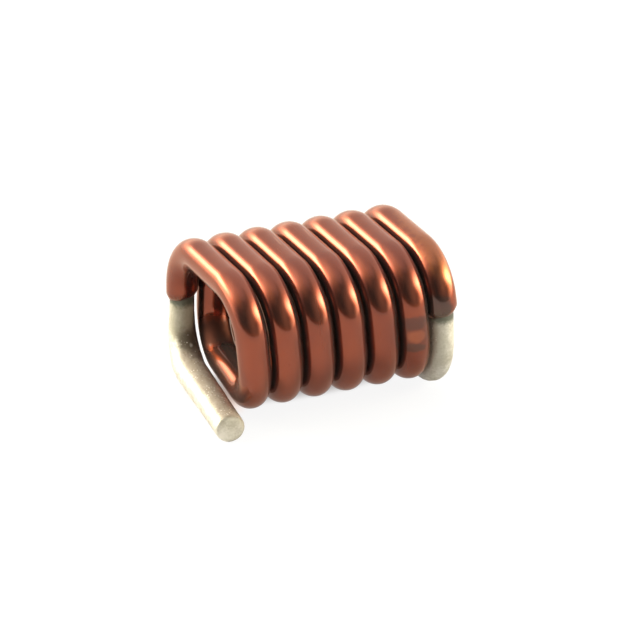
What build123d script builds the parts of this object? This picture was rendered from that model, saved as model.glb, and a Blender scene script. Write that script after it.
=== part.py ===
from build123d import *
from math import sqrt
import os

# Air core inductor: one enamelled round wire wound on a rectangular former and lifted off it.
# Its two ends are stripped, tinned and bent under the ends of the coil as solder leads.
# Sizes are millimetres. X runs along the coil, -Y is the front, Z is up, and the leads rest on Z = 0.

# Wire, and the former it was wound on
wire_diameter = 0.64      # over the enamel
turn_gap = 0.045          # air between neighbouring turns
turn_count = 7            # tops of turns, counted from above
former_width = 2.55       # front to back
former_height = 1.76
former_corner = 0.63      # radius of the former's long edges

# Share of the pitch that the wire climbs along each side, the rear taking what is left
top_climb = 0.29
front_climb = 0.265
bottom_climb = 0.28

# Leads
lead_drop = 0.25          # from the bottom of a turn down to the rear lead, between centrelines
lead_setback = 0.12       # from the coil's outer face back to the lead's cut end
stripped_diameter = 0.50  # wire below the enamel's edge
rear_solder = 0.63        # diameter of the tinned run under the coil, on the rear lead
front_solder = 0.56       # the same on the front lead, which took less solder
rear_gap = 0.058          # air between the rear lead's foot and the turn beside it
front_gap = 0.037         # the same for the front lead
rear_enamel = 0.31        # from the end of the top bend down to the enamel's edge, on the rear lead
front_enamel = 0.06       # the same on the front lead
enamel_rounding = 0.03
tip_rounding = 0.06

# Worked out from the sizes above
pitch = wire_diameter + turn_gap
rear_climb = 1 - top_climb - front_climb - bottom_climb
half_width = (former_width + wire_diameter) / 2
half_height = (former_height + wire_diameter) / 2
bend_radius = former_corner + wire_diameter / 2
mid_height = rear_solder / 2 + lead_drop + half_height
top_height = mid_height + half_height
bottom_height = mid_height - half_height
coil_length = (turn_count - bottom_climb) * pitch
bottom_slope = bottom_climb * pitch / (2 * half_width)
tip_reach = half_width + wire_diameter / 2 - lead_setback
column_top = top_height - bend_radius


def turn_corners(start):
    """The four corners of one turn, which starts at its rear bottom corner and climbs along X."""
    rear_top = start + rear_climb * pitch
    front_top = rear_top + top_climb * pitch
    front_bottom = front_top + front_climb * pitch
    return [
        (start, half_width, bottom_height),
        (rear_top, half_width, top_height),
        (front_top, -half_width, top_height),
        (front_bottom, -half_width, bottom_height),
    ]


def lead_points(side, top_corner, neighbour, enamel, gap, solder):
    """Enamel edge, corner and cut end of a lead. Side is -1 for the rear lead and 1 for the front one."""
    lead_height = solder / 2
    foot_reach = (wire_diameter + solder) / 2 + gap
    foot_x = neighbour[0] + side * sqrt(foot_reach**2 - (bottom_height - lead_height) ** 2)
    edge_height = column_top - enamel
    edge_share = (top_height - edge_height) / (top_height - lead_height)
    edge_x = top_corner[0] + (foot_x - top_corner[0]) * edge_share
    tip_x = foot_x + side * bottom_slope * (half_width + tip_reach)
    return [
        (edge_x, -side * half_width, edge_height),
        (foot_x, -side * half_width, lead_height),
        (tip_x, side * tip_reach, lead_height),
    ]


# The enamelled turns run from one enamel edge to the other, which stand in for the first corner and the last
corners = [corner for turn in range(turn_count) for corner in turn_corners(turn * pitch - coil_length / 2)]
rear_lead = lead_points(-1, corners[1], corners[4], rear_enamel, rear_gap, rear_solder)
front_lead = lead_points(1, corners[-2], corners[-5], front_enamel, front_gap, front_solder)
coil_points = [rear_lead[0], *corners[1:-1], front_lead[0]]

with BuildPart() as wire_coil:
    with BuildLine() as coil_path:
        FilletPolyline(*coil_points, radius=bend_radius)
    with BuildSketch(Plane(coil_path.line ^ 0)):
        Circle(wire_diameter / 2)
    sweep(path=coil_path.line)
    enamel_ends = wire_coil.faces().filter_by(GeomType.PLANE)
    fillet(enamel_ends.edges(), enamel_rounding)

    for points, solder in ((rear_lead, rear_solder), (front_lead, front_solder)):
        with BuildLine() as lead_path:
            FilletPolyline(*points, radius=bend_radius)
        column, run = lead_path.edges().filter_by(GeomType.LINE).sort_by(Axis.Z, reverse=True)
        bend = lead_path.edges().filter_by(GeomType.CIRCLE)[0]
        # Stripped wire down the column
        with BuildSketch(Plane(column ^ 0)):
            Circle(stripped_diameter / 2)
        sweep(path=column)
        # The tin thickens round the bend
        bend_foot, bend_top = sorted((bend ^ 0, bend ^ 1), key=lambda place: place.position.Z)
        with BuildSketch(Plane(bend_top)):
            Circle(stripped_diameter / 2)
        with BuildSketch(Plane(bend_foot)):
            Circle(solder / 2)
        sweep(path=bend, multisection=True)
        # Straight tinned run under the coil
        with BuildSketch(Plane(run ^ 0)):
            Circle(solder / 2)
        sweep(path=run)

    # The cut ends lie lowest of the flat faces
    cut_ends = wire_coil.faces().filter_by(GeomType.PLANE).sort_by(Axis.Z)[:2]
    fillet(cut_ends.edges(), tip_rounding)

# The origin is the middle of the footprint, leads included
footprint = wire_coil.part.bounding_box().center()
wire_coil.part.position = (-footprint.X, -footprint.Y, 0)

wire_coil.part.label = "wire_coil"
os.makedirs("parts", exist_ok=True)
export_step(wire_coil.part, "parts/wire_coil.step")
print("volume", wire_coil.part.volume, "box", wire_coil.part.bounding_box())
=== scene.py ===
import bpy
import math
from mathutils import Matrix, Vector


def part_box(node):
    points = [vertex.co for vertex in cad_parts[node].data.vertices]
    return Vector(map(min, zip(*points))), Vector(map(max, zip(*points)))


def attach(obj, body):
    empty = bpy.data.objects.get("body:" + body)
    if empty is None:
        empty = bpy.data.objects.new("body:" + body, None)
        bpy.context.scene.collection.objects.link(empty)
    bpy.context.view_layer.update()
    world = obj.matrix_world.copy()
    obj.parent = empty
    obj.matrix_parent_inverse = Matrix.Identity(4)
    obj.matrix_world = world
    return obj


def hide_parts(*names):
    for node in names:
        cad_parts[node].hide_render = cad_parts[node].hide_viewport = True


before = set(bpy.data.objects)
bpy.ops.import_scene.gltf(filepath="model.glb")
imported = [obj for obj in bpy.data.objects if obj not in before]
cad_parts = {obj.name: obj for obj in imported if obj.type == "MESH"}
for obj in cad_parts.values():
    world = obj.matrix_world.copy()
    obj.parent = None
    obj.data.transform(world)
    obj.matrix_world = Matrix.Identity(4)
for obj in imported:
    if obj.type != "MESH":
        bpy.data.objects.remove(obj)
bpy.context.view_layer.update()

coilLow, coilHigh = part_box("wire_coil")
mm = 0.001
print("frame loaded, coil box in mm:", [round(v / mm, 3) for v in (*coilLow, *coilHigh)])


# Small helpers for the node trees
def addNode(tree, kind, values=None, **settings):
    node = tree.nodes.new(kind)
    for name, value in settings.items():
        setattr(node, name, value)
    for socket, value in (values or {}).items():
        plug(tree, value, node.inputs[socket])
    return node


def plug(tree, value, socket):
    if isinstance(value, bpy.types.NodeSocket):
        tree.links.new(value, socket)
    else:
        socket.default_value = value


def maths(tree, operation, *values):
    node = addNode(tree, "ShaderNodeMath", operation=operation)
    for index, value in enumerate(values):
        plug(tree, value, node.inputs[index])
    return node.outputs[0]


def vectorMaths(tree, operation, *values):
    node = addNode(tree, "ShaderNodeVectorMath", operation=operation)
    for index, value in enumerate(values):
        plug(tree, value, node.inputs[index])
    return node.outputs["Value" if operation in ("LENGTH", "DOT_PRODUCT", "DISTANCE") else "Vector"]


def scaled(tree, vector, factor):
    node = addNode(tree, "ShaderNodeVectorMath", operation="SCALE")
    plug(tree, vector, node.inputs[0])
    plug(tree, factor, node.inputs["Scale"])
    return node.outputs["Vector"]


def remap(tree, value, low, high, toLow, toHigh, smooth=False):
    node = addNode(tree, "ShaderNodeMapRange", {
        "Value": value, "From Min": low, "From Max": high, "To Min": toLow, "To Max": toHigh,
    }, interpolation_type="SMOOTHSTEP" if smooth else "LINEAR")
    return node.outputs["Result"]


def mixFloat(tree, factor, first, second):
    node = addNode(tree, "ShaderNodeMix", {0: factor, 2: first, 3: second}, data_type="FLOAT")
    return node.outputs[0]


def mixColour(tree, factor, first, second):
    node = addNode(tree, "ShaderNodeMix", {0: factor, 6: first, 7: second}, data_type="RGBA")
    return node.outputs[2]


def join(tree, **axes):
    return addNode(tree, "ShaderNodeCombineXYZ", axes).outputs[0]


def split(tree, vector):
    return addNode(tree, "ShaderNodeSeparateXYZ", {"Vector": vector}).outputs


def newTree(name, kind, inputs, outputs):
    tree = bpy.data.node_groups.new(name, kind)
    for socketName, socketKind, default in inputs:
        socket = tree.interface.new_socket(name=socketName, in_out="INPUT", socket_type=socketKind)
        if default is not None:
            socket.default_value = default
    for socketName, socketKind in outputs:
        tree.interface.new_socket(name=socketName, in_out="OUTPUT", socket_type=socketKind)
    return tree, tree.nodes.new("NodeGroupInput").outputs, tree.nodes.new("NodeGroupOutput").inputs


def useGroup(tree, group, values):
    kind = "ShaderNodeGroup" if tree.bl_idname == "ShaderNodeTree" else "GeometryNodeGroup"
    node = tree.nodes.new(kind)
    node.node_tree = group
    for name, value in values.items():
        plug(tree, value, node.inputs[name])
    return node


floatSocket, vectorSocket = "NodeSocketFloat", "NodeSocketVector"
geometrySocket, materialSocket = "NodeSocketGeometry", "NodeSocketMaterial"


# Wire as wound, in millimetres. The heights and the width come from the frame's box.
wire = {
    "diameter": 0.652,
    "gap": 0.033,
    "turns": 7,
    "bendRadius": 0.95,
    "topClimb": 0.29,
    "frontClimb": 0.265,
    "bottomClimb": 0.28,
    "bendPoints": 24,
    "ringSpacing": 0.05,
    "ringFaces": 48,
    "lipLength": 0.16,
    "lipSquareness": 0.70,
    "raggedness": 0.10,
    "tears": 3.2,        # per millimetre of the enamel's edge
    "tearReach": 3.0,    # up the wire, times the raggedness
    "slant": 0.30,
    "dentSize": 0.8,
    "dentDepth": 0.006,
    "seed": 3.0,
}

# Tinned leads, in millimetres: first what differs between the two, then what they share
rearLead = {
    "side": -1, "solder": 0.63, "swollen": 0.655, "cutEnd": 0.60, "enamel": 0.31, "gap": 0.058,
    "bendRadius": 0.78, "seed": 2.0,
}
frontLead = {
    "side": 1, "solder": 0.56, "swollen": 0.535, "cutEnd": 0.52, "enamel": 0.09, "gap": 0.002,
    "bendRadius": 1.10, "seed": 7.0,
}
lead = {
    "drop": 0.25,
    "setback": 0.12,
    "stripped": 0.50,
    "tuckedIn": 0.16,
    "swellFrom": 0.3,
    "swellTo": 1.7,
    "fullLength": 4.1,
    "ringSpacing": 0.011,
    "ringFaces": 56,
    "tipLength": 0.11,
    "tipSquareness": 0.50,
    "lumpSize": 0.22,
    "lumpHeight": 0.020,
    "grainSize": 0.035,
    "grainHeight": 0.006,
}

pitch = wire["diameter"] + wire["gap"]
rearClimb = 1 - wire["topClimb"] - wire["frontClimb"] - wire["bottomClimb"]
wireRadius = wire["diameter"] / 2
halfWidth = (coilHigh.y - coilLow.y) / 2 / mm - wireRadius
topHeight = coilHigh.z / mm - wireRadius
bottomHeight = rearLead["solder"] / 2 + lead["drop"]
coilLength = (wire["turns"] - wire["bottomClimb"]) * pitch
bottomSlope = wire["bottomClimb"] * pitch / (2 * halfWidth)
tipReach = halfWidth + wireRadius - lead["setback"]
climbs = (0, rearClimb, rearClimb + wire["topClimb"], rearClimb + wire["topClimb"] + wire["frontClimb"])


def cornerX(turn, corner):
    return (turn + climbs[corner]) * pitch - coilLength / 2


def leadPoints(look, topX, besideX):
    # enamel edge, foot and cut end
    side, height = look["side"], look["solder"] / 2
    reach = (wire["diameter"] + look["solder"]) / 2 + look["gap"]
    footX = besideX + side * math.sqrt(reach ** 2 - (bottomHeight - height) ** 2)
    edgeHeight = topHeight - wire["bendRadius"] - look["enamel"]
    edgeShare = (topHeight - edgeHeight) / (topHeight - height)
    edge = Vector((topX + (footX - topX) * edgeShare, -side * halfWidth, edgeHeight))
    foot = Vector((footX, -side * halfWidth, height))
    tip = Vector((footX + side * bottomSlope * (halfWidth + tipReach), side * tipReach, height))
    return edge, foot, tip


lastTurn = wire["turns"] - 1
rearPoints = leadPoints(rearLead, cornerX(0, 1), cornerX(1, 0))
frontPoints = leadPoints(frontLead, cornerX(lastTurn, 2), cornerX(lastTurn - 1, 3))
# The frame's origin is the middle of the footprint, so the coil is shifted until the rear lead
# meets the frame's box
shift = Vector((coilLow.x / mm - rearPoints[2].x + rearLead["solder"] / 2, 0, 0))
rearPoints = [point + shift for point in rearPoints]
frontPoints = [point + shift for point in frontPoints]
print("coil shifted in mm:", round(shift.x, 4))


# Geometry group: a round wire along a curve, both ends rounded off and closed at a pole
def makeRoundWire():
    tree, given, out = newTree("roundWire", "GeometryNodeTree", [
        ("Curve", geometrySocket, None),
        ("Radius", floatSocket, 0.3),
        ("Ring Spacing", floatSocket, 0.05),
        ("Ring Faces", "NodeSocketInt", 32),
        ("End Length", floatSocket, 0.05),
        ("End Squareness", floatSocket, 0.5),
    ], [("Mesh", geometrySocket)])
    rings = addNode(tree, "GeometryNodeResampleCurve", {
        "Curve": given["Curve"], "Length": given["Ring Spacing"],
    }, mode="LENGTH")
    parameter = addNode(tree, "GeometryNodeSplineParameter").outputs
    total = addNode(tree, "GeometryNodeSplineLength").outputs["Length"]
    tangent = addNode(tree, "GeometryNodeInputTangent").outputs[0]
    kept = addNode(tree, "GeometryNodeCaptureAttribute", {"Geometry": rings.outputs[0]})
    captured = []
    for kind, name, value in (("FLOAT", "along", parameter["Length"]), ("FLOAT", "total", total),
                              ("VECTOR", "tangent", tangent), ("FLOAT", "radius", given["Radius"])):
        kept.capture_items.new(kind, name)
        plug(tree, value, kept.inputs[name])
        captured.append(kept.outputs[name])
    along, total, tangent, radius = captured
    # Near an end the rings slide outwards and shrink, so that they follow a rounded end
    toEnd = maths(tree, "MINIMUM", along, maths(tree, "SUBTRACT", total, along))
    share = remap(tree, toEnd, 0.0, given["End Length"], 1.0, 0.0)
    angle = maths(tree, "MULTIPLY", share, math.pi / 2)
    slid = maths(tree, "POWER", maths(tree, "SINE", angle), given["End Squareness"])
    newToEnd = maths(tree, "MULTIPLY", given["End Length"], maths(tree, "SUBTRACT", 1.0, slid))
    inEnd = maths(tree, "LESS_THAN", toEnd, given["End Length"])
    shift = maths(tree, "MULTIPLY", maths(tree, "SUBTRACT", newToEnd, toEnd), inEnd)
    atFar = maths(tree, "GREATER_THAN", along, maths(tree, "MULTIPLY", total, 0.5))
    sign = maths(tree, "SUBTRACT", 1.0, maths(tree, "MULTIPLY", atFar, 2.0))
    moved = addNode(tree, "GeometryNodeSetPosition", {
        "Geometry": kept.outputs["Geometry"],
        "Offset": scaled(tree, tangent, maths(tree, "MULTIPLY", shift, sign)),
    })
    cosine = maths(tree, "MAXIMUM", maths(tree, "COSINE", angle), 0.0)
    taper = maths(tree, "POWER", cosine, given["End Squareness"])
    sized = addNode(tree, "GeometryNodeSetCurveRadius", {
        "Curve": moved.outputs[0],
        "Radius": maths(tree, "MULTIPLY", radius, taper),
    })
    profile = addNode(tree, "GeometryNodeCurvePrimitiveCircle", {
        "Radius": 1.0, "Resolution": given["Ring Faces"],
    }, mode="RADIUS")
    section = addNode(tree, "GeometryNodeCaptureAttribute", {"Geometry": profile.outputs[0]})
    section.capture_items.new("VECTOR", "section")
    plug(tree, addNode(tree, "GeometryNodeInputPosition").outputs[0], section.inputs["section"])
    tube = addNode(tree, "GeometryNodeCurveToMesh", {
        "Curve": sized.outputs[0],
        "Profile Curve": section.outputs["Geometry"],
        "Scale": addNode(tree, "GeometryNodeInputRadius").outputs[0],
        "Fill Caps": False,
    })
    # The wire as if pulled straight, for patterns that follow it
    across = scaled(tree, section.outputs["section"], radius)
    straight = vectorMaths(tree, "ADD", across, join(tree, Z=along))
    stored = addNode(tree, "GeometryNodeStoreNamedAttribute", {
        "Geometry": tube.outputs[0], "Name": "straight", "Value": straight,
    }, data_type="FLOAT_VECTOR", domain="POINT")
    stored = addNode(tree, "GeometryNodeStoreNamedAttribute", {
        "Geometry": stored.outputs[0], "Name": "toEnd", "Value": toEnd,
    }, data_type="FLOAT", domain="POINT")
    closed = addNode(tree, "GeometryNodeMergeByDistance", {
        "Geometry": stored.outputs[0], "Distance": 0.0001 * mm,
    })
    smooth = addNode(tree, "GeometryNodeSetShadeSmooth", {"Geometry": closed.outputs[0]})
    tree.links.new(smooth.outputs[0], out["Mesh"])
    return tree


roundWire = makeRoundWire()


# Geometry group: unevenness of a surface, pushed along its normals
def makeRoughen():
    tree, given, out = newTree("roughen", "GeometryNodeTree", [
        ("Geometry", geometrySocket, None),
        ("Size", floatSocket, 0.1),
        ("Height", floatSocket, 0.01),
        ("Seed", floatSocket, 1.0),
    ], [("Geometry", geometrySocket)])
    place = addNode(tree, "GeometryNodeInputPosition").outputs[0]
    noise = addNode(tree, "ShaderNodeTexNoise", {
        "Vector": place,
        "W": given["Seed"],
        "Scale": maths(tree, "DIVIDE", 1.0, given["Size"]),
        "Detail": 2.0,
        "Roughness": 0.5,
    }, noise_dimensions="4D")
    height = maths(tree, "MULTIPLY", maths(tree, "SUBTRACT", noise.outputs[0], 0.5), given["Height"])
    pushed = addNode(tree, "GeometryNodeSetPosition", {
        "Geometry": given["Geometry"],
        "Offset": scaled(tree, addNode(tree, "GeometryNodeInputNormal").outputs[0], height),
    })
    tree.links.new(pushed.outputs[0], out["Geometry"])
    return tree


roughen = makeRoughen()


# Geometry tree of the enamelled turns: corners by their number, then rounded, then swept
def makeEnamelTurns():
    tree, given, out = newTree("enamelTurns", "GeometryNodeTree", [
        ("Geometry", geometrySocket, None),
        ("Turns", "NodeSocketInt", 7),
        ("Pitch", floatSocket, pitch * mm),
        ("Half Length", floatSocket, (coilLength / 2 - shift.x) * mm),
        ("Half Width", floatSocket, halfWidth * mm),
        ("Bottom", floatSocket, bottomHeight * mm),
        ("Top", floatSocket, topHeight * mm),
        ("Bend Radius", floatSocket, wire["bendRadius"] * mm),
        ("Start", vectorSocket, None),
        ("End", vectorSocket, None),
        ("Wire Radius", floatSocket, wireRadius * mm),
        ("Ring Spacing", floatSocket, wire["ringSpacing"] * mm),
        ("Ring Faces", "NodeSocketInt", wire["ringFaces"]),
        ("Lip Length", floatSocket, wire["lipLength"] * mm),
        ("Lip Squareness", floatSocket, wire["lipSquareness"]),
        ("Raggedness", floatSocket, wire["raggedness"] * mm),
        ("Slant", floatSocket, wire["slant"]),
        ("Dent Size", floatSocket, wire["dentSize"] * mm),
        ("Dent Depth", floatSocket, wire["dentDepth"] * mm),
        ("Seed", floatSocket, wire["seed"]),
        ("Material", materialSocket, None),
    ], [("Geometry", geometrySocket)])
    count = maths(tree, "MULTIPLY", given["Turns"], 4.0)
    line = addNode(tree, "GeometryNodeMeshLine", {"Count": count}, mode="OFFSET")
    index = addNode(tree, "GeometryNodeInputIndex").outputs[0]
    corner = maths(tree, "FLOORED_MODULO", index, 4.0)
    turn = maths(tree, "FLOOR", maths(tree, "DIVIDE", index, 4.0))
    # Share of the pitch climbed, side and height at each of a turn's four corners
    climb = addNode(tree, "GeometryNodeIndexSwitch", data_type="FLOAT")
    place = addNode(tree, "GeometryNodeIndexSwitch", data_type="VECTOR")
    for switch in (climb, place):
        while len(switch.index_switch_items) < 4:
            switch.index_switch_items.new()
        plug(tree, corner, switch.inputs["Index"])
    back, front = given["Half Width"], maths(tree, "MULTIPLY", given["Half Width"], -1.0)
    bottom, top = given["Bottom"], given["Top"]
    section = ((back, bottom), (back, top), (front, top), (front, bottom))
    for number, (side, height) in enumerate(section):
        plug(tree, climbs[number], climb.inputs[str(number)])
        plug(tree, join(tree, Y=side, Z=height), place.inputs[str(number)])
    turned = maths(tree, "MULTIPLY", maths(tree, "ADD", turn, climb.outputs[0]), given["Pitch"])
    x = maths(tree, "SUBTRACT", turned, given["Half Length"])
    corners = vectorMaths(tree, "ADD", place.outputs[0], join(tree, X=x))
    # The first corner and the last one are where the enamel ends
    first = maths(tree, "LESS_THAN", index, 0.5)
    last = maths(tree, "GREATER_THAN", index, maths(tree, "SUBTRACT", count, 1.5))
    for here, end in ((first, given["Start"]), (last, given["End"])):
        choice = addNode(tree, "GeometryNodeSwitch", input_type="VECTOR")
        for name, value in (("Switch", here), ("False", corners), ("True", end)):
            plug(tree, value, choice.inputs[name])
        corners = choice.outputs[0]
    placed = addNode(tree, "GeometryNodeSetPosition", {"Geometry": line.outputs[0], "Position": corners})
    path = addNode(tree, "GeometryNodeMeshToCurve", {"Mesh": placed.outputs[0]})
    bent = addNode(tree, "GeometryNodeFilletCurve", {
        "Curve": path.outputs[0], "Radius": given["Bend Radius"], "Count": wire["bendPoints"],
    }, mode="POLY")
    tube = useGroup(tree, roundWire, {
        "Curve": bent.outputs[0], "Radius": given["Wire Radius"], "Ring Spacing": given["Ring Spacing"],
        "Ring Faces": given["Ring Faces"], "End Length": given["Lip Length"],
        "End Squareness": given["Lip Squareness"],
    })
    # The enamel's edge is torn and slants: its last stretch slides up and down the wire
    named = addNode(tree, "GeometryNodeInputNamedAttribute", {"Name": "toEnd"}, data_type="FLOAT")
    toEnd = named.outputs[0]
    spot = addNode(tree, "GeometryNodeInputPosition").outputs[0]
    tear = addNode(tree, "ShaderNodeTexNoise", {
        "Vector": spot, "W": given["Seed"], "Scale": wire["tears"] / mm, "Detail": 2.0, "Roughness": 0.6,
    }, noise_dimensions="4D")
    spotX, startX, endX = (split(tree, vector)["X"] for vector in (spot, given["Start"], given["End"]))
    nearX = addNode(tree, "GeometryNodeSwitch", {
        "Switch": maths(tree, "LESS_THAN", spotX, 0.0), "False": endX, "True": startX,
    }, input_type="FLOAT").outputs[0]
    reach = maths(tree, "MULTIPLY", given["Raggedness"], wire["tearReach"])
    pull = remap(tree, toEnd, 0.0, reach, 1.0, 0.0, smooth=True)
    slide = maths(tree, "MULTIPLY", maths(tree, "SUBTRACT", tear.outputs[0], 0.5), given["Raggedness"])
    slide = maths(tree, "MULTIPLY_ADD", maths(tree, "SUBTRACT", spotX, nearX), given["Slant"],
                  maths(tree, "MULTIPLY", slide, 2.0))
    slide = maths(tree, "MULTIPLY", slide, pull)
    torn = addNode(tree, "GeometryNodeSetPosition", {
        "Geometry": tube.outputs[0], "Offset": join(tree, Z=slide),
    })
    dented = useGroup(tree, roughen, {
        "Geometry": torn.outputs[0], "Size": given["Dent Size"], "Height": given["Dent Depth"],
        "Seed": given["Seed"],
    })
    realized = addNode(tree, "GeometryNodeRealizeInstances", {"Geometry": dented.outputs[0]})
    painted = addNode(tree, "GeometryNodeSetMaterial", {
        "Geometry": realized.outputs[0], "Material": given["Material"],
    })
    tree.links.new(painted.outputs[0], out["Geometry"])
    return tree


# Geometry tree of one tinned lead: three points, a bend, and a radius that grows with the solder
def makeTinnedLead():
    tree, given, out = newTree("tinnedLead", "GeometryNodeTree", [
        ("Geometry", geometrySocket, None),
        ("Start", vectorSocket, None),
        ("Foot", vectorSocket, None),
        ("Tip", vectorSocket, None),
        ("Bend Radius", floatSocket, wire["bendRadius"] * mm),
        ("Stripped Radius", floatSocket, lead["stripped"] / 2 * mm),
        ("Swollen Radius", floatSocket, 0.3 * mm),
        ("Cut End Radius", floatSocket, 0.3 * mm),
        ("Swell From", floatSocket, lead["swellFrom"] * mm),
        ("Swell To", floatSocket, lead["swellTo"] * mm),
        ("Full Length", floatSocket, lead["fullLength"] * mm),
        ("Ring Spacing", floatSocket, lead["ringSpacing"] * mm),
        ("Ring Faces", "NodeSocketInt", lead["ringFaces"]),
        ("Tip Length", floatSocket, lead["tipLength"] * mm),
        ("Tip Squareness", floatSocket, lead["tipSquareness"]),
        ("Lump Size", floatSocket, lead["lumpSize"] * mm),
        ("Lump Height", floatSocket, lead["lumpHeight"] * mm),
        ("Grain Size", floatSocket, lead["grainSize"] * mm),
        ("Grain Height", floatSocket, lead["grainHeight"] * mm),
        ("Seed", floatSocket, 1.0),
        ("Material", materialSocket, None),
    ], [("Geometry", geometrySocket)])
    line = addNode(tree, "GeometryNodeMeshLine", {"Count": 3}, mode="OFFSET")
    spots = addNode(tree, "GeometryNodeIndexSwitch", data_type="VECTOR")
    while len(spots.index_switch_items) < 3:
        spots.index_switch_items.new()
    plug(tree, addNode(tree, "GeometryNodeInputIndex").outputs[0], spots.inputs["Index"])
    for number, name in enumerate(("Start", "Foot", "Tip")):
        plug(tree, given[name], spots.inputs[str(number)])
    placed = addNode(tree, "GeometryNodeSetPosition", {
        "Geometry": line.outputs[0], "Position": spots.outputs[0],
    })
    path = addNode(tree, "GeometryNodeMeshToCurve", {"Mesh": placed.outputs[0]})
    bent = addNode(tree, "GeometryNodeFilletCurve", {
        "Curve": path.outputs[0], "Radius": given["Bend Radius"], "Count": wire["bendPoints"],
    }, mode="POLY")
    along = addNode(tree, "GeometryNodeSplineParameter").outputs["Length"]
    radius = remap(tree, along, given["Swell From"], given["Swell To"],
                   given["Stripped Radius"], given["Swollen Radius"], smooth=True)
    lost = maths(tree, "SUBTRACT", given["Swollen Radius"], given["Cut End Radius"])
    radius = maths(tree, "SUBTRACT", radius,
                   remap(tree, along, given["Swell To"], given["Full Length"], 0.0, lost))
    tube = useGroup(tree, roundWire, {
        "Curve": bent.outputs[0], "Radius": radius, "Ring Spacing": given["Ring Spacing"],
        "Ring Faces": given["Ring Faces"], "End Length": given["Tip Length"],
        "End Squareness": given["Tip Squareness"],
    })
    surface = tube.outputs[0]
    for size, height in (("Lump Size", "Lump Height"), ("Grain Size", "Grain Height")):
        rough = useGroup(tree, roughen, {
            "Geometry": surface, "Size": given[size], "Height": given[height], "Seed": given["Seed"],
        })
        surface = rough.outputs[0]
    # The run is flattened where it rests on the board
    spot = addNode(tree, "GeometryNodeInputPosition").outputs[0]
    resting = addNode(tree, "GeometryNodeSetPosition", {
        "Geometry": surface, "Position": vectorMaths(tree, "MAXIMUM", spot, (-1.0, -1.0, 0.0)),
    })
    realized = addNode(tree, "GeometryNodeRealizeInstances", {"Geometry": resting.outputs[0]})
    painted = addNode(tree, "GeometryNodeSetMaterial", {
        "Geometry": realized.outputs[0], "Material": given["Material"],
    })
    tree.links.new(painted.outputs[0], out["Geometry"])
    return tree


# Runs a geometry tree on an empty mesh and keeps the plain mesh that comes out
def grow(name, tree, values):
    holder = bpy.data.objects.new(name + "Holder", bpy.data.meshes.new(name + "Holder"))
    bpy.context.scene.collection.objects.link(holder)
    modifier = holder.modifiers.new("grow", "NODES")
    modifier.node_group = tree
    identifiers = {
        item.name: item.identifier for item in tree.interface.items_tree if item.in_out == "INPUT"
    }
    for socketName, value in values.items():
        modifier[identifiers[socketName]] = value
    evaluated = holder.evaluated_get(bpy.context.evaluated_depsgraph_get())
    mesh = bpy.data.meshes.new_from_object(evaluated)
    holder.modifiers.remove(modifier)
    bpy.data.objects.remove(holder)
    mesh.name = name
    piece = bpy.data.objects.new(name, mesh)
    bpy.context.scene.collection.objects.link(piece)
    print(name, "faces", len(mesh.polygons))
    return piece


# Shader group: sparse specks, 1 inside a speck and 0 outside
def makeSpecks():
    tree, given, out = newTree("specks", "ShaderNodeTree", [
        ("Vector", vectorSocket, None),
        ("Spacing", floatSocket, 0.2),
        ("Speck Size", floatSocket, 0.2),
        ("Share", floatSocket, 0.2),
        ("Ragged", floatSocket, 0.3),
    ], [("Mask", floatSocket)])
    # One cell for each spacing, and a rim that wobbles four times as finely
    density = maths(tree, "DIVIDE", 1 / mm, given["Spacing"])
    wobble = addNode(tree, "ShaderNodeTexNoise", {
        "Vector": given["Vector"], "Scale": maths(tree, "MULTIPLY", density, 4.0), "Detail": 2.0,
    })
    cells = addNode(tree, "ShaderNodeTexVoronoi", {
        "Vector": given["Vector"], "Scale": density, "Randomness": 1.0,
    })
    chance = addNode(tree, "ShaderNodeSeparateColor", {"Color": cells.outputs["Color"]}).outputs[0]
    chosen = maths(tree, "LESS_THAN", chance, given["Share"])
    ragged = maths(tree, "MULTIPLY", maths(tree, "SUBTRACT", wobble.outputs[0], 0.5), given["Ragged"])
    distance = maths(tree, "ADD", cells.outputs["Distance"], ragged)
    inner = maths(tree, "MULTIPLY", given["Speck Size"], 0.6)
    mask = remap(tree, distance, inner, given["Speck Size"], 1.0, 0.0, smooth=True)
    tree.links.new(maths(tree, "MULTIPLY", mask, chosen), out["Mask"])
    return tree


# Shader group: two scales of unevenness, as a height between 0 and 1
def makeGrain():
    tree, given, out = newTree("grain", "ShaderNodeTree", [
        ("Vector", vectorSocket, None),
        ("Coarse", floatSocket, 0.2),
        ("Fine", floatSocket, 0.03),
        ("Fine Share", floatSocket, 0.4),
    ], [("Height", floatSocket)])
    coarse, fine = (addNode(tree, "ShaderNodeTexNoise", {
        "Vector": given["Vector"], "Scale": maths(tree, "DIVIDE", 1 / mm, given[name]),
        "Detail": 3.0, "Roughness": 0.55,
    }).outputs[0] for name in ("Coarse", "Fine"))
    tree.links.new(mixFloat(tree, given["Fine Share"], coarse, fine), out["Height"])
    return tree


rimNotches = 9.0    # in a mark's ragged rim, per millimetre


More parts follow.
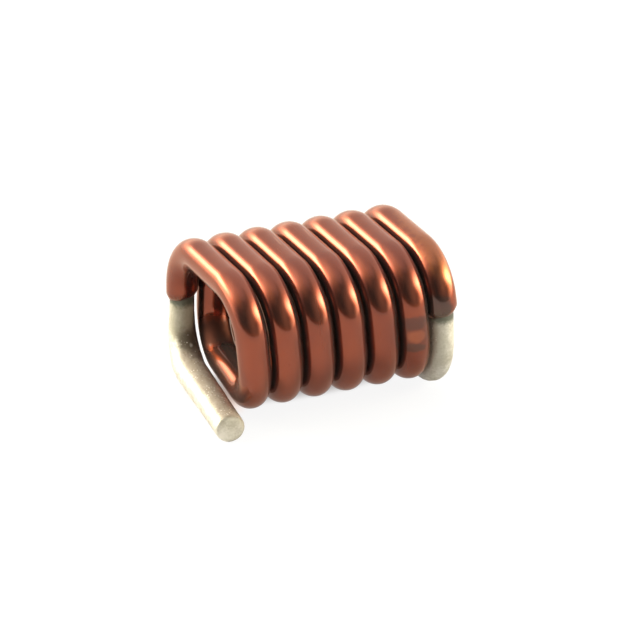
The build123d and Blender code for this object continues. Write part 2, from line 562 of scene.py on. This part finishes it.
# Shader group: one mark with a ragged rim. Its place and its half size are in millimetres.
def makeMark():
    tree, given, out = newTree("mark", "ShaderNodeTree", [
        ("Vector", vectorSocket, None),
        ("Place", vectorSocket, None),
        ("Extent", vectorSocket, (0.1, 0.1, 0.1)),
        ("Ragged", floatSocket, 0.3),
        ("Softness", floatSocket, 0.3),
    ], [("Mask", floatSocket)])
    offset = vectorMaths(tree, "SUBTRACT", given["Vector"], scaled(tree, given["Place"], mm))
    offset = vectorMaths(tree, "DIVIDE", offset, scaled(tree, given["Extent"], mm))
    distance = vectorMaths(tree, "LENGTH", offset)
    noise = addNode(tree, "ShaderNodeTexNoise", {
        "Vector": given["Vector"], "Scale": rimNotches / mm, "Detail": 2.0,
    })
    ragged = maths(tree, "MULTIPLY", maths(tree, "SUBTRACT", noise.outputs[0], 0.5), given["Ragged"])
    distance = maths(tree, "ADD", distance, ragged)
    inner = maths(tree, "SUBTRACT", 1.0, given["Softness"])
    tree.links.new(remap(tree, distance, inner, 1.0, 1.0, 0.0, smooth=True), out["Mask"])
    return tree


specks, grain, mark = makeSpecks(), makeGrain(), makeMark()


def marked(tree, vector, place, extent, ragged, softness):
    return useGroup(tree, mark, {
        "Vector": vector, "Place": place, "Extent": extent, "Ragged": ragged, "Softness": softness,
    }).outputs[0]


# Enamelled copper: metal under a clear coat, browner where the enamel was burnt off its ends.
# Lengths are in millimetres, and a cover is how much of the colour below is hidden.
enamelLook = {
    "copper": (0.250, 0.043, 0.013, 1),
    "darker": (0.200, 0.033, 0.012, 1),
    "edge": (0.92, 0.55, 0.40, 1),
    # Painted shade for the crevices between turns
    "creviceShade": (0.045, 0.016, 0.012, 1),
    "creviceFrom": 0.70,
    "creviceTo": 0.97,
    "creviceCover": 0.6,
    "creviceReach": 1.97,
    "burnt": (0.110, 0.082, 0.044, 1),
    "burntFrom": 0.02,
    "burntTo": 0.22,
    "burntRagged": 0.10,
    "burntCover": 0.85,
    "burntRougher": 0.15,
    "markRagged": 0.5,
    "markSoftness": 0.45,
    "toneSpread": (0.35, 0.65),
    "roughness": (0.19, 0.28),
    "coatWeight": 0.72,
    "coatRoughness": 0.06,
    "coatIndex": 1.5,
    "haze": 0.06,
    "hazeRoughness": 0.8,
    "hazeTint": (1.0, 0.86, 0.84, 1),
    "unevenness": {"Coarse": 1.1, "Fine": 0.25, "Fine Share": 0.25},
    "drawnLines": {"Coarse": 0.12, "Fine": 0.03, "Fine Share": 0.4},
    "drawnOut": 0.06,
    "dents": {"Coarse": 0.16, "Fine": 0.05, "Fine Share": 0.35},
    "dentShare": 1.6,
    "bumpStrength": 0.22,
    "bumpDistance": 0.003,
}

# Marks on the enamel that the photo shows, and painted light on the last turn's right flank: place, half
# size, colour and cover
enamelMarks = {
    "darkPatch": ((1.50, -1.91, 1.70), (0.50, 0.70, 0.46), (0.130, 0.030, 0.017, 1), 0.65),
    "upperBand": ((1.47, -1.91, 1.95), (0.42, 0.70, 0.18), (0.085, 0.026, 0.018, 1), 0.70),
    "lowerBand": ((1.52, -1.89, 1.40), (0.30, 0.70, 0.13), (0.080, 0.028, 0.017, 1), 0.70),
    "lightPatch": ((1.54, -1.90, 1.65), (0.25, 0.70, 0.17), (0.290, 0.068, 0.026, 1), 0.95),
    "darkEnd": ((2.03, -1.86, 2.14), (0.36, 0.60, 0.40), (0.050, 0.028, 0.024, 1), 0.88),
    # Painted light: a lighter copper on the last turn's right flank
    "paintedLitFlank": ((2.28, -0.40, 2.95), (0.44, 2.10, 0.76), (0.420, 0.125, 0.034, 1), 0.60),
    "paleChip": ((-0.78, -1.81, 1.86), (0.06, 0.12, 0.12), (0.72, 0.56, 0.42, 1), 0.90),
    "lowSpot": ((-2.14, -1.53, 0.95), (0.05, 0.07, 0.06), (0.70, 0.56, 0.44, 1), 0.60),
    "tinySpot": ((0.64, -1.73, 1.11), (0.04, 0.04, 0.04), (0.78, 0.64, 0.52, 1), 0.70),
    "edgeSpot": ((1.93, -1.74, 1.93), (0.07, 0.06, 0.02), (0.75, 0.66, 0.60, 1), 0.80),
    "leftScratch": ((-0.62, 0.15, 3.27), (0.026, 0.30, 0.08), (0.60, 0.30, 0.20, 1), 0.35),
    "rightScratch": ((0.07, 0.28, 3.26), (0.024, 0.34, 0.08), (0.60, 0.30, 0.20, 1), 0.35),
}

# Painted shade low inside the first turns, where the enamel has also lost its gloss
innerShade = {
    "place": (-1.65, 1.15, 0.95),
    "extent": (0.60, 0.50, 0.42),
    "colour": (0.070, 0.030, 0.022, 1),
    "cover": 0.85,
    "ragged": 0.4,
    "softness": 0.5,
    "rougher": 0.35,
}


def makeEnamel():
    look = enamelLook
    material = bpy.data.materials.new("enamelledCopper")
    material.use_nodes = True
    tree = material.node_tree
    shader = tree.nodes["Principled BSDF"]
    place = addNode(tree, "ShaderNodeTexCoord").outputs["Object"]
    straight = addNode(tree, "ShaderNodeAttribute", attribute_name="straight").outputs["Vector"]
    toEnd = addNode(tree, "ShaderNodeAttribute", attribute_name="toEnd").outputs["Fac"]
    drawn = vectorMaths(tree, "MULTIPLY", straight, (1.0, 1.0, look["drawnOut"]))
    uneven, lines, dents = (
        useGroup(tree, grain, {"Vector": vector, **look[name]}).outputs["Height"]
        for vector, name in ((place, "unevenness"), (drawn, "drawnLines"), (place, "dents")))
    tone = remap(tree, uneven, *look["toneSpread"], 0.0, 1.0)
    colour = mixColour(tree, tone, look["darker"], look["copper"])
    # Marks, and the painted light on the last turn's flank, laid over the colour
    for spot, extent, paint, cover in enamelMarks.values():
        mask = marked(tree, place, spot, extent, look["markRagged"], look["markSoftness"])
        colour = mixColour(tree, maths(tree, "MULTIPLY", mask, cover), colour, paint)
    # Painted shade in the crevices between turns, where the wire faces its neighbour
    normal = addNode(tree, "ShaderNodeNewGeometry").outputs["Normal"]
    sideways = maths(tree, "ABSOLUTE", split(tree, normal)["X"])
    offCentre = maths(tree, "ABSOLUTE", split(tree, place)["X"])
    inside = maths(tree, "LESS_THAN", offCentre, look["creviceReach"] * mm)
    creviceShade = remap(tree, sideways, look["creviceFrom"], look["creviceTo"], 0.0, look["creviceCover"],
                    smooth=True)
    colour = mixColour(tree, maths(tree, "MULTIPLY", creviceShade, inside), colour, look["creviceShade"])
    # Burnt brown towards both ends of the enamel
    ragged = maths(tree, "MULTIPLY", maths(tree, "SUBTRACT", lines, 0.5), look["burntRagged"] * mm)
    burnt = remap(tree, maths(tree, "ADD", toEnd, ragged), look["burntFrom"] * mm, look["burntTo"] * mm,
                  look["burntCover"], 0.0, smooth=True)
    colour = mixColour(tree, burnt, colour, look["burnt"])
    # Painted shade low inside the first turns, with a rougher enamel and no coat there
    innerShaded = marked(tree, place, innerShade["place"], innerShade["extent"], innerShade["ragged"], innerShade["softness"])
    colour = mixColour(tree, maths(tree, "MULTIPLY", innerShaded, innerShade["cover"]), colour, innerShade["colour"])
    coat = maths(tree, "MULTIPLY", maths(tree, "SUBTRACT", 1.0, innerShaded), look["coatWeight"])
    rough = remap(tree, lines, 0.3, 0.7, *look["roughness"])
    rough = maths(tree, "MULTIPLY_ADD", burnt, look["burntRougher"], rough)
    rough = maths(tree, "MULTIPLY_ADD", innerShaded, innerShade["rougher"], rough)
    height = maths(tree, "MULTIPLY_ADD", dents, look["dentShare"], lines)
    bump = addNode(tree, "ShaderNodeBump", {
        "Height": height, "Strength": look["bumpStrength"], "Distance": look["bumpDistance"] * mm,
    })
    for name, value in {
        "Base Color": colour,
        "Metallic": 1.0,
        "Roughness": rough,
        "Specular Tint": look["edge"],
        "Coat Weight": coat,
        "Coat Roughness": look["coatRoughness"],
        "Coat IOR": look["coatIndex"],
        "Sheen Weight": look["haze"],
        "Sheen Roughness": look["hazeRoughness"],
        "Sheen Tint": look["hazeTint"],
        "Normal": bump.outputs[0],
    }.items():
        plug(tree, value, shader.inputs[name])
    return material


# Dipped solder: frosted metal, with flux, painted shade and grains on the side that faces up and towards
# the coil.
# Lengths are in millimetres, and a cover is how much of the colour below is hidden.
solderLook = {
    "tin": (0.75, 0.71, 0.66, 1),
    "shade": (0.50, 0.46, 0.39, 1),
    "fluxShadeBrown": (0.270, 0.205, 0.160, 1),
    "grains": (0.86, 0.82, 0.76, 1),
    "char": (0.070, 0.078, 0.054, 1),
    "charFrom": 0.20,
    "charTo": 0.36,
    "charRagged": 0.2,
    "charCover": 0.85,
    "fluxShadeInward": 0.8,
    "fluxShadeUpward": 1.3,
    "fluxShadeFrom": 0.15,
    "fluxShadeTo": 0.85,
    "fluxShadeCover": 0.75,
    "markRagged": 0.6,
    "markSoftness": 0.6,
    "toneSpread": (0.35, 0.62),
    "roughness": (0.64, 0.46),
    "metallic": 0.70,
    "dullMetallic": 0.20,
    "unevenness": {"Coarse": 0.30, "Fine": 0.05, "Fine Share": 0.35},
    "pits": {"Spacing": 0.065, "Speck Size": 0.36, "Share": 0.40, "Ragged": 0.35},
    "pitCover": 0.08,
    "fluxShadePitCover": 0.5,
    "glints": {"Spacing": 0.055, "Speck Size": 0.30, "Share": 0.30, "Ragged": 0.35},
    "glintsMoved": (3.1, 1.7, 0.9),
    "glintCover": 0.8,
    "bumpStrength": 0.7,
    "bumpDistance": 0.02,
}

# Stains on the leads: place, half size, colour and cover
solderMarks = {
    "dullColumn": ((-2.30, 1.30, 1.30), (0.60, 0.60, 0.62), (0.380, 0.340, 0.250, 1), 0.70),
    "darkBend": ((-2.20, 1.14, 0.92), (0.34, 0.40, 0.32), (0.150, 0.122, 0.090, 1), 0.85),
    "dullFront": ((2.00, -1.90, 1.10), (0.42, 0.50, 0.90), (0.460, 0.430, 0.350, 1), 0.50),
    "brightSpeck": ((-2.13, 1.12, 0.82), (0.080, 0.09, 0.080), (0.99, 0.98, 0.95, 1), 1.0),
}


def makeSolder():
    look = solderLook
    material = bpy.data.materials.new("roughSolder")
    material.use_nodes = True
    tree = material.node_tree
    shader = tree.nodes["Principled BSDF"]
    place = addNode(tree, "ShaderNodeTexCoord").outputs["Object"]
    straight = addNode(tree, "ShaderNodeAttribute", attribute_name="straight").outputs["Vector"]
    uneven = useGroup(tree, grain, {"Vector": place, **look["unevenness"]}).outputs["Height"]
    # A lead's place and its normal have opposite signs along X on the side towards the coil's middle
    normals = split(tree, addNode(tree, "ShaderNodeNewGeometry").outputs["Normal"])
    inward = maths(tree, "MULTIPLY", normals["X"], -look["fluxShadeInward"])
    inward = maths(tree, "MULTIPLY", maths(tree, "SIGN", split(tree, place)["X"]), inward)
    # Flux and painted shade: brown on the side that faces up and towards the coil
    fluxAndShade = maths(tree, "MULTIPLY_ADD", normals["Z"], look["fluxShadeUpward"], inward)
    fluxAndShade = maths(tree, "ADD", fluxAndShade, maths(tree, "SUBTRACT", uneven, 0.5))
    fluxAndShade = remap(tree, fluxAndShade, look["fluxShadeFrom"], look["fluxShadeTo"], 0.0, 1.0, smooth=True)
    tone = remap(tree, uneven, *look["toneSpread"], 0.0, 1.0)
    colour = mixColour(tree, tone, look["shade"], look["tin"])
    colour = mixColour(tree, maths(tree, "MULTIPLY", fluxAndShade, look["fluxShadeCover"]), colour, look["fluxShadeBrown"])
    dull = fluxAndShade
    for spot, extent, paint, cover in solderMarks.values():
        mask = marked(tree, place, spot, extent, look["markRagged"], look["markSoftness"])
        covered = maths(tree, "MULTIPLY", mask, cover)
        colour = mixColour(tree, covered, colour, paint)
        dull = maths(tree, "MAXIMUM", dull, covered)
    # Light grains stand out where the flux and painted shade lie, and dark pits mostly lie there too
    moved = vectorMaths(tree, "ADD", place, tuple(step * mm for step in look["glintsMoved"]))
    glints = useGroup(tree, specks, {"Vector": moved, **look["glints"]}).outputs[0]
    glint = maths(tree, "MULTIPLY", glints, maths(tree, "MULTIPLY", fluxAndShade, look["glintCover"]))
    colour = mixColour(tree, glint, colour, look["grains"])
    pits = useGroup(tree, specks, {"Vector": place, **look["pits"]}).outputs[0]
    pitCover = maths(tree, "MULTIPLY_ADD", fluxAndShade, look["fluxShadePitCover"], look["pitCover"])
    pit = maths(tree, "MULTIPLY", pits, pitCover)
    colour = mixColour(tree, pit, colour, look["fluxShadeBrown"])
    # Charred below the enamel's edge
    along = maths(tree, "MULTIPLY_ADD", maths(tree, "SUBTRACT", uneven, 0.5), look["charRagged"] * mm,
                  split(tree, straight)["Z"])
    char = remap(tree, along, look["charFrom"] * mm, look["charTo"] * mm, look["charCover"], 0.0,
                 smooth=True)
    colour = mixColour(tree, char, colour, look["char"])
    metallic = remap(tree, dull, 0.0, 1.0, look["metallic"], look["dullMetallic"])
    rough = remap(tree, uneven, 0.3, 0.7, *look["roughness"])
    height = maths(tree, "ADD", maths(tree, "SUBTRACT", uneven, pit), glint)
    bump = addNode(tree, "ShaderNodeBump", {
        "Height": height, "Strength": look["bumpStrength"], "Distance": look["bumpDistance"] * mm,
    })
    for name, value in {
        "Base Color": colour,
        "Metallic": metallic,
        "Roughness": rough,
        "Normal": bump.outputs[0],
    }.items():
        plug(tree, value, shader.inputs[name])
    return material


enamelledCopper, roughSolder = makeEnamel(), makeSolder()
print("materials made")

enamelTurns = grow("enamelTurns", makeEnamelTurns(), {
    "Turns": wire["turns"],
    "Start": tuple(rearPoints[0] * mm),
    "End": tuple(frontPoints[0] * mm),
    "Material": enamelledCopper,
})
tinnedLead = makeTinnedLead()
leads = []
for name, look, points in (("rearLead", rearLead, rearPoints), ("frontLead", frontLead, frontPoints)):
    edge, foot, tip = points
    inside = edge + (edge - foot).normalized() * lead["tuckedIn"]
    leads.append(grow(name, tinnedLead, {
        "Start": tuple(inside * mm), "Foot": tuple(foot * mm), "Tip": tuple(tip * mm),
        "Swollen Radius": look["swollen"] / 2 * mm, "Cut End Radius": look["cutEnd"] / 2 * mm,
        "Bend Radius": look["bendRadius"] * mm,
        "Seed": look["seed"], "Material": roughSolder,
    }))

for piece, slotName in ((enamelTurns, "enamel"), (leads[0], "tin"), (leads[1], "tin")):
    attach(piece, "root")
    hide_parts("wire_coil")
print("pieces ride on the frame")

# Camera, fitted to the photo: angles in degrees, lengths in millimetres
camera = {
    "azimuth": -21.553,
    "elevation": 26.083,
    "roll": -0.637,
    "distance": 88.74,
    "lens": 247.3,
    "right": 0.146,
    "up": 0.280,
}
coilCentre = (shift + Vector((0, 0, (topHeight + bottomHeight) / 2))) * mm


def makeCamera():
    azimuth, elevation, roll = (math.radians(camera[name]) for name in ("azimuth", "elevation", "roll"))
    flat = math.cos(elevation)
    back = Vector((math.sin(azimuth) * flat, -math.cos(azimuth) * flat, math.sin(elevation)))
    right = Vector((math.cos(azimuth), math.sin(azimuth), 0))
    up = back.cross(right)
    rolledRight = right * math.cos(roll) + up * math.sin(roll)
    rolledUp = up * math.cos(roll) - right * math.sin(roll)
    aim = coilCentre + (rolledRight * camera["right"] - rolledUp * camera["up"]) * mm
    data = bpy.data.cameras.new("photoCamera")
    data.lens = camera["lens"]
    data.sensor_width = 36
    data.clip_start, data.clip_end = 1 * mm, 1
    seen = bpy.data.objects.new("photoCamera", data)
    axes = Matrix((rolledRight, rolledUp, back)).transposed().to_4x4()
    seen.matrix_world = Matrix.Translation(aim + back * camera["distance"] * mm) @ axes
    bpy.context.scene.collection.objects.link(seen)
    bpy.context.scene.camera = seen


makeCamera()

# Studio: a white floor in a pale room, darker on the camera's side, with soft boxes in its walls.
# Patches of the floor are in millimetres. Azimuth 0 is straight behind the coil and 90 to its right,
# angles are in degrees, and length and width are where a box falls to half its level.
studio = {
    "floorSize": 160.0,
    "floor": (0.65, 0.66, 0.70, 1),
    "floorRoughness": 0.9,
    "glowLevel": 1.10,
    "floorGlow": 0.82,
    "shaded": {"place": (0.0, 0.55, 0.0), "extent": (2.9, 1.2, 1.0), "softness": 0.4},
    "shadedGlow": 0.35,
    # Painted copper glow on the floor under the first turns
    "warm": {"place": (-1.85, 0.15, 0.0), "extent": (0.45, 1.0, 1.0), "softness": 0.8},
    "warmGlow": (1.0, 0.78, 0.68, 1),
    "bounce": {"place": (0.0, 0.0, 0.0), "extent": (3.4, 2.6, 1.0), "softness": 0.5},
    "bounceGlow": 0.30,
    "wall": 1.10,
    "dark": 0.06,
    "wallFrom": -0.45,
    "wallTo": 0.25,
    "ceiling": 1.12,
    "ceilingFrom": 0.78,
    "ceilingTo": 1.02,
    "ceilingTilt": 0.06,
    "lampColour": (1.0, 0.94, 0.68),
    "boxes": (
        {"azimuth": -50, "elevation": 23, "tilt": -12, "length": 0.34, "width": 0.125, "level": 18.0},
        {"azimuth": -31, "elevation": 24, "tilt": 0, "length": 0.14, "width": 0.080, "level": 5.5},
        {"azimuth": -75, "elevation": 32, "tilt": -40, "length": 0.26, "width": 0.16, "level": 3.4},
        {"azimuth": 105, "elevation": 21, "tilt": 33, "length": 0.37, "width": 0.145, "level": 15.5},
        {"azimuth": 122, "elevation": 44, "tilt": 0, "length": 0.40, "width": 0.20, "level": 0.9},
        {"azimuth": -80, "elevation": 56, "tilt": -20, "length": 0.50, "width": 0.30, "level": 1.3},
        {"azimuth": -10, "elevation": 12, "tilt": 0, "length": 0.36, "width": 0.14, "level": 1.6},
        {"azimuth": 168, "elevation": 25, "tilt": 0, "length": 0.40, "width": 0.45, "level": 0.5},
        {"azimuth": -60, "elevation": 7, "tilt": 0, "length": 0.30, "width": 0.18, "level": 4.2},
        {"azimuth": 96, "elevation": 1, "tilt": 0, "length": 0.60, "width": 0.22, "level": 4.0},
    ),
}


def makeFloor():
    half = studio["floorSize"] / 2 * mm
    corners = [(-half, -half, 0), (half, -half, 0), (half, half, 0), (-half, half, 0)]
    mesh = bpy.data.meshes.new("floor")
    mesh.from_pydata(corners, [], [(0, 1, 2, 3)])
    floor = bpy.data.objects.new("floor", mesh)
    bpy.context.scene.collection.objects.link(floor)
    material = bpy.data.materials.new("whiteFloor")
    material.use_nodes = True
    tree = material.node_tree
    shader = tree.nodes["Principled BSDF"]
    shader.inputs["Base Color"].default_value = studio["floor"]
    shader.inputs["Roughness"].default_value = studio["floorRoughness"]
    shader.inputs["Specular IOR Level"].default_value = 0.0
    place = addNode(tree, "ShaderNodeTexCoord").outputs["Object"]
    shaded, warm, bounce = (
        marked(tree, place, patch["place"], patch["extent"], 0.0, patch["softness"])
        for patch in (studio["shaded"], studio["warm"], studio["bounce"]))
    glow = addNode(tree, "ShaderNodeEmission", {
        "Color": mixColour(tree, warm, (1, 1, 1, 1), studio["warmGlow"]),
        "Strength": studio["glowLevel"],
    })
    # The camera sees a floor nearly as white as the backdrop, with a faint shadow and a painted copper
    # glow under the first turns, for light bounced off the copper. The coil gets some light back from
    # the floor close around it.
    toCamera = remap(tree, shaded, 0.0, 1.0, studio["floorGlow"], studio["shadedGlow"])
    toCoil = maths(tree, "MULTIPLY", bounce, studio["bounceGlow"])
    seen = addNode(tree, "ShaderNodeLightPath").outputs["Is Camera Ray"]
    share = mixFloat(tree, seen, toCoil, toCamera)
    blend = addNode(tree, "ShaderNodeMixShader", {0: share, 1: shader.outputs[0], 2: glow.outputs[0]})
    tree.links.new(blend.outputs[0], tree.nodes["Material Output"].inputs["Surface"])
    mesh.materials.append(material)


# Shader group: how bright a soft box is in a direction, 1 in its middle and fading all round
def makeSoftBox():
    tree, given, out = newTree("softBox", "ShaderNodeTree", [
        ("Direction", vectorSocket, None),
        ("Toward", vectorSocket, None),
        ("Along", vectorSocket, None),
        ("Across", vectorSocket, None),
        ("Length", floatSocket, 0.5),
        ("Width", floatSocket, 0.3),
    ], [("Level", floatSocket)])
    ahead = vectorMaths(tree, "DOT_PRODUCT", given["Direction"], given["Toward"])
    facing = maths(tree, "GREATER_THAN", ahead, 0.0)
    ahead = maths(tree, "MAXIMUM", ahead, 0.01)
    squares = []
    for axis, extent in (("Along", "Length"), ("Across", "Width")):
        aside = vectorMaths(tree, "DOT_PRODUCT", given["Direction"], given[axis])
        offset = maths(tree, "DIVIDE", maths(tree, "DIVIDE", aside, ahead), given[extent])
        squares.append(maths(tree, "MULTIPLY", offset, offset))
    level = maths(tree, "POWER", 0.5, maths(tree, "ADD", *squares))
    tree.links.new(maths(tree, "MULTIPLY", level, facing), out["Level"])
    return tree


def makeRoom():
    world = bpy.data.worlds.new("studioRoom")
    bpy.context.scene.world = world
    world.use_nodes = True
    tree = world.node_tree
    background = tree.nodes["Background"]
    direction = addNode(tree, "ShaderNodeTexCoord").outputs["Generated"]
    parts = split(tree, direction)
    wall = remap(tree, parts["Y"], studio["wallFrom"], studio["wallTo"], studio["dark"], studio["wall"],
                 smooth=True)
    overhead = maths(tree, "MULTIPLY_ADD", parts["Y"], studio["ceilingTilt"], parts["Z"])
    ceiling = remap(tree, overhead, studio["ceilingFrom"], studio["ceilingTo"], 0.0, studio["ceiling"],
                    smooth=True)
    level = maths(tree, "MAXIMUM", wall, ceiling)
    softBox = makeSoftBox()
    lamps = 0.0
    for box in studio["boxes"]:
        azimuth, elevation, tilt = (math.radians(box[name]) for name in ("azimuth", "elevation", "tilt"))
        side = Vector((math.cos(azimuth), -math.sin(azimuth), 0))
        flat = math.cos(elevation)
        toward = Vector((math.sin(azimuth) * flat, math.cos(azimuth) * flat, math.sin(elevation)))
        upward = side.cross(toward)
        shape = useGroup(tree, softBox, {
            "Direction": direction, "Toward": toward,
            "Along": side * math.cos(tilt) + upward * math.sin(tilt),
            "Across": upward * math.cos(tilt) - side * math.sin(tilt),
            "Length": box["length"], "Width": box["width"],
        })
        lamps = maths(tree, "MULTIPLY_ADD", shape.outputs[0], box["level"], lamps)
    room = scaled(tree, (1.0, 1.0, 1.0), level)
    light = vectorMaths(tree, "ADD", room, scaled(tree, studio["lampColour"], lamps))
    seen = addNode(tree, "ShaderNodeLightPath").outputs["Is Camera Ray"]
    tree.links.new(mixColour(tree, seen, light, (1, 1, 1, 1)), background.inputs["Color"])


makeFloor()
makeRoom()
bpy.context.scene.view_settings.view_transform = "Standard"
print("studio set")
